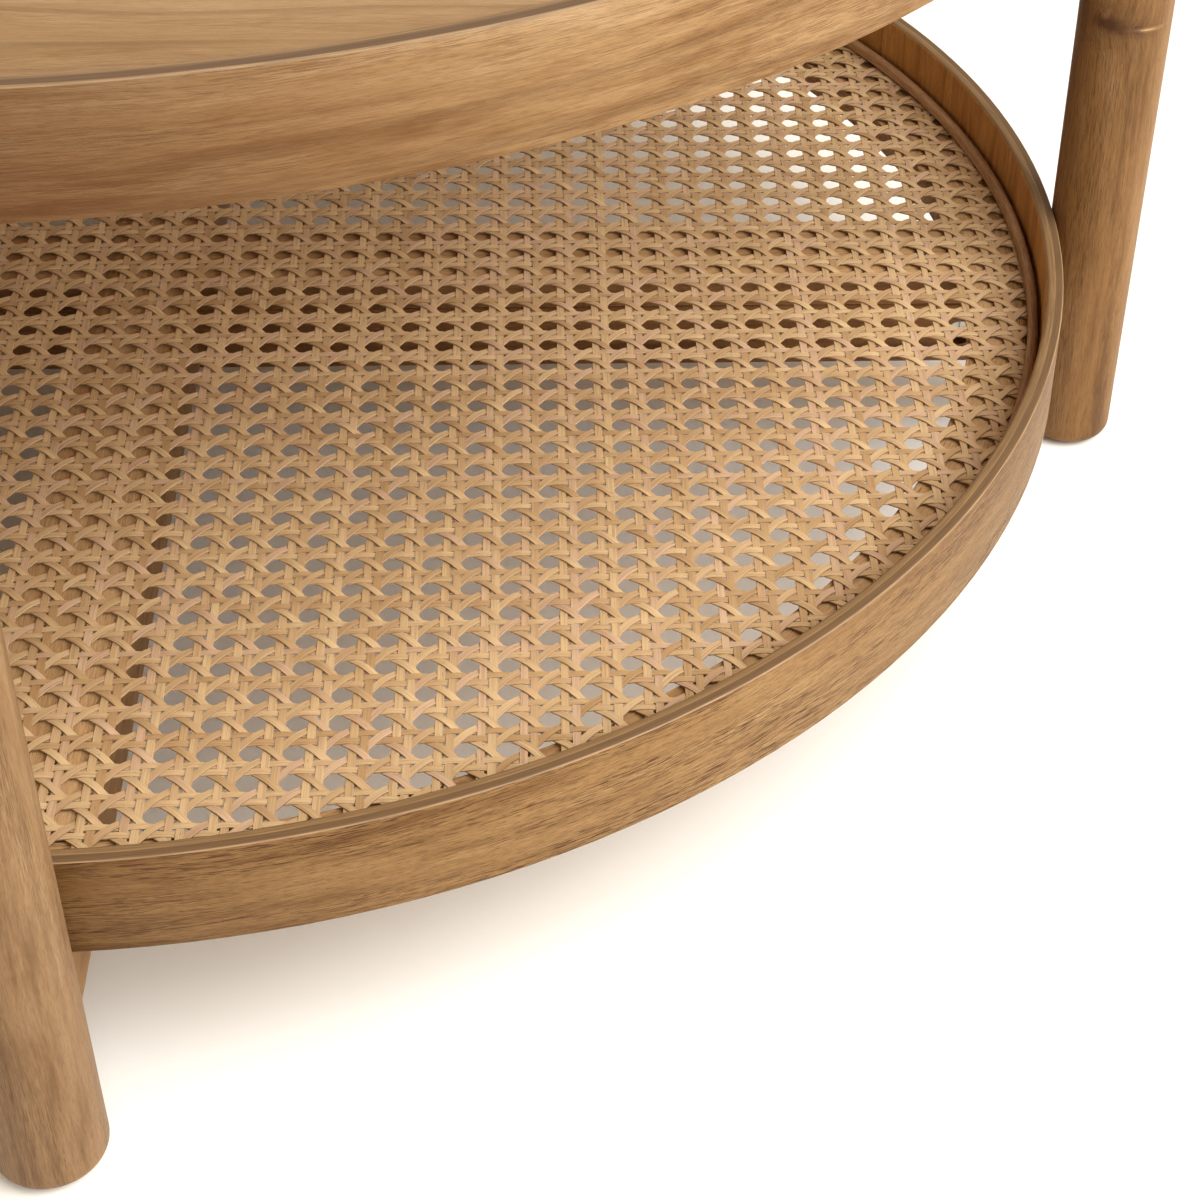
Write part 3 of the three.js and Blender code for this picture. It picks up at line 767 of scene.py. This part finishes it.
def crossbar(node, along, slot, colours, seed, ease, radius=None, painted_shade_flank_colours=None):
    """A bar along X or Y, halved into its partner. Its upright flanks can take painted shade: a second wood
    of deeper tone standing in for the shade on them.
    """
    box = span(node)
    piece = prism(node + "_wood", bar_outline(box, along, radius), box.low.z, box.high.z, ease)
    cut(piece, [notch(node, box, along), *bores(box)])
    sharpen(piece, 30)
    look = {"pores": 0.4, "rough": 0.6, "streaks": 0.15}
    materials = [wood(node + "_grain", along, seed, colours, **look)]
    if painted_shade_flank_colours:
        materials.append(wood(node + "_painted_shade_flank", along, seed + 10, painted_shade_flank_colours, **look))
        # Painted shade: upright faces take the flank wood, standing in for the shade under the cane.
        for face in piece.data.polygons:
            face.material_index = int(abs(face.normal.z) < 0.5)
    dress(piece, slot, *materials, stands_for=node)


# ---------------------------------------------------------------- fasteners

def nut_axis(node):
    """A lower barrel nut lies across the stretcher that it is in, and an upper one stands upright."""
    if node.startswith("upper"):
        return "z"
    return "y" if node.endswith(("right", "left")) else "x"


def barrel_nut(node):
    """A cross dowel with a slot in its end for a screwdriver."""
    box, axis = span(node), nut_axis(node)
    reach = "xyz".index(axis)
    start, end, ease = box.low[reach], box.high[reach], NUT_ROUND
    profile = [(0, start), *arc((NUT_RADIUS - ease, start + ease), ease, 270, 360, 3),
               *arc((NUT_RADIUS - ease, end - ease), ease, 0, 90, 3), (0, end)]
    piece = turned(node + "_dowel", profile, SMALL_SEGMENTS)
    slot_half, slot_depth, bore, through = 0.6 * MM, 1.2 * MM, 3.2 * MM, 10 * MM
    slot = block((-slot_half, -NUT_RADIUS - MM, start - MM), (slot_half, NUT_RADIUS + MM, start + slot_depth))
    cut(piece, [slot, drill((0, 0, (start + end) / 2), bore, -through, through, "x")])
    lay(piece, axis, box.middle)
    sharpen(piece, 30)
    dress(piece, "steel", STEEL, stands_for=node)


def wood_screw(node):
    """A countersunk screw, head down, with a cross recess and a threaded shank."""
    box = span(node)
    head, shank, root, pitch = box.half.x, 2 * MM, 1.45 * MM, 1.6 * MM
    thread_end, tip = box.high.z - 4.5 * MM, box.high.z - 3.5 * MM
    profile = [(0, box.low.z), (head - 0.2 * MM, box.low.z), (head, box.low.z + 0.25 * MM),
               (shank, box.low.z + SCREW_SINK)]
    height = box.low.z + SCREW_SINK + pitch
    while height < thread_end:
        profile += [(root, height - 0.3 * pitch), (shank, height)]
        height += pitch
    profile += [(root, tip), (0, box.high.z)]
    piece = turned(node + "_threaded", profile, SCREW_SEGMENTS)
    arm, half, depth = 2.3 * MM, 0.45 * MM, 1.4 * MM
    cut(piece, [block((-arm, -half, box.low.z - MM), (arm, half, box.low.z + depth)),
                block((-half, -arm, box.low.z - MM), (half, arm, box.low.z + depth))])
    lay(piece, "z", box.middle)
    sharpen(piece, 30)
    dress(piece, "steel", STEEL, stands_for=node)


# ---------------------------------------------------------------- stage, light and camera

def floor():
    """The level floor that the table stands on."""
    outline = rectangle((-FLOOR_REACH, -FLOOR_REACH), (FLOOR_REACH, FLOOR_REACH))
    piece = make_object("floor", [(x, y, 0) for x, y in outline], [(0, 1, 2, 3)], smooth=False)
    piece.data.materials.append(painted_floor("floor_paint"))


def softbox(name, place, size, power):
    """A square lamp that shines on the table."""
    lamp = bpy.data.lights.new(name, "AREA")
    lamp.shape, lamp.size, lamp.energy, lamp.color = "SQUARE", size, power, LAMP_COLOUR
    holder = link(name, lamp)
    holder.location = place
    holder.rotation_mode = "QUATERNION"
    holder.rotation_quaternion = (LIT_POINT - Vector(place)).to_track_quat("-Z", "Y")


def studio():
    """Warm light from all round and three softboxes, in front and to the right."""
    world = bpy.data.worlds.new("studio")
    world.use_nodes = True
    background = world.node_tree.nodes["Background"]
    background.inputs["Color"].default_value = WORLD_COLOUR
    background.inputs["Strength"].default_value = WORLD_STRENGTH
    bpy.context.scene.world = world
    for lamp in SOFTBOXES:
        softbox(*lamp)
    bpy.context.scene.view_settings.view_transform = "Standard"


def camera():
    """The camera at the photograph's place, turned by its yaw, pitch and roll."""
    data = bpy.data.cameras.new("camera")
    data.lens, data.sensor_width = CAMERA_LENS, 36.0
    data.shift_x, data.shift_y = CAMERA_SHIFT
    data.clip_start, data.clip_end = 0.01, 50
    holder = link("camera", data)
    sin, cos = math.sin, math.cos
    level = cos(CAMERA_PITCH)
    ahead = Vector((sin(CAMERA_YAW) * level, cos(CAMERA_YAW) * level, -sin(CAMERA_PITCH)))
    right = Vector((cos(CAMERA_YAW), -sin(CAMERA_YAW), 0))
    up = right.cross(ahead)
    tilted_right = right * cos(CAMERA_ROLL) + up * sin(CAMERA_ROLL)
    tilted_up = up * cos(CAMERA_ROLL) - right * sin(CAMERA_ROLL)
    turn = Matrix((tilted_right, tilted_up, -ahead)).transposed()
    holder.matrix_world = Matrix.Translation(CAMERA_PLACE) @ turn.to_4x4()
    bpy.context.scene.camera = holder


# ---------------------------------------------------------------- the table

NYLON = nylon("glide_nylon")
STEEL = plated_steel("plated_steel")

woven_cane()
# The hoops carry painted shade: dimmed at the front, and on the shelf hoop also at the right-front.
hoop("top_hoop", 20, TOP_HOOP_WOOD, TOP_PLIES, pores=0.45, streaks=0.35, painted_shade=((262, 48, 0.86),))
hoop("shelf_hoop", 30, SHELF_HOOP_WOOD, SHELF_PLIES, pores=1.0, streaks=0.1,
     painted_shade=((262, 34, 0.50), (338, 34, 0.34)))
bead()
ring("top_ring", TOP_RING_INNER, 50)
ring("shelf_ring", SHELF_RING_INNER, 53)
board()
for i, side_name in enumerate(SIDES):
    leg(side_name, 60 + 7 * i)
    glide(side_name)
for i, axis_name in enumerate("xy"):
    bar_wood_and_shade = STRETCHER_WOOD_AND_SHADE[axis_name]
    crossbar(f"top_rail_{axis_name}", axis_name, "frame", FRAME_WOOD, 80 + i, RAIL_ROUND, TOP_RING_INNER)
    # The slats' upright flanks take the stretchers' colours as painted shade.
    crossbar(f"shelf_slat_{axis_name}", axis_name, "frame", FRAME_WOOD, 84 + i, SLAT_ROUND, SHELF_RING_INNER,
             painted_shade_flank_colours=bar_wood_and_shade)
    crossbar(f"stretcher_{axis_name}", axis_name, "leg", bar_wood_and_shade, 88 + i, STRETCHER_ROUND)
for node_name in NUTS:
    barrel_nut(node_name)
for node_name in SCREWS:
    wood_screw(node_name)
for node_name, node_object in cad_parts.items():
    if "stud" in node_name:
        dress(node_object, "steel", STEEL)

floor()
studio()
camera()
